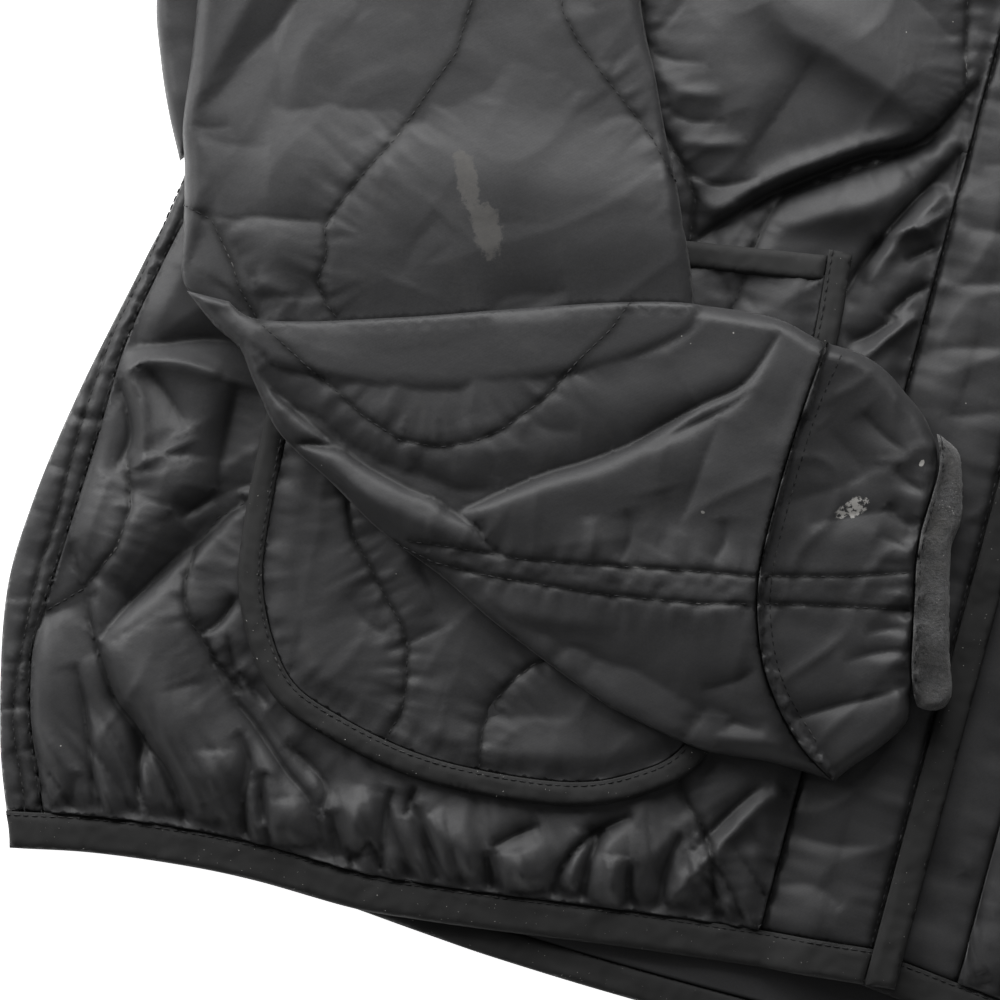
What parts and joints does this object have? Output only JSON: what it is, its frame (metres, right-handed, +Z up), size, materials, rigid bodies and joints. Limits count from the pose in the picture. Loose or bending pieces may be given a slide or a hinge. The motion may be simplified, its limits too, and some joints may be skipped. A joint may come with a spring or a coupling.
{
  "type": "quilted jacket",
  "caption": "Black quilted liner jacket laid flat, fronts closed, sleeves folded over the fronts, patch pockets and taped edges.",
  "frame": {"origin": "middle of the laid-out jacket's outline, on the surface it rests on", "axes": "+Z up from the surface, +Y from the hem to the neck, +X to the onlooker's right, which is the wearer's left"},
  "size_m": [0.654, 0.6999, 0.0307],
  "materials": {
    "shell": "onion-quilted black nylon taffeta with a soft sheen",
    "tape": "matt black brushed binding tape"
  },
  "bodies": {
    "root": {"back": "shell", "band_left": "shell", "band_right": "shell", "cuff_binding_left": "tape", "cuff_binding_right": "tape", "cuff_left": "shell", "cuff_right": "shell", "edge_binding_left": "tape", "edge_binding_right": "tape", "front_left": "shell", "front_right": "shell", "hem_binding_back": "tape", "hem_binding_left": "tape", "hem_binding_right": "tape", "mouth_binding_left": "tape", "mouth_binding_right": "tape", "neck_binding_back": "tape", "neck_binding_left": "tape", "neck_binding_right": "tape", "pocket_binding_left": "tape", "pocket_binding_right": "tape", "pocket_left": "shell", "pocket_right": "shell", "sleeve_left": "shell", "sleeve_right": "shell"}
  },
  "joints": []
}
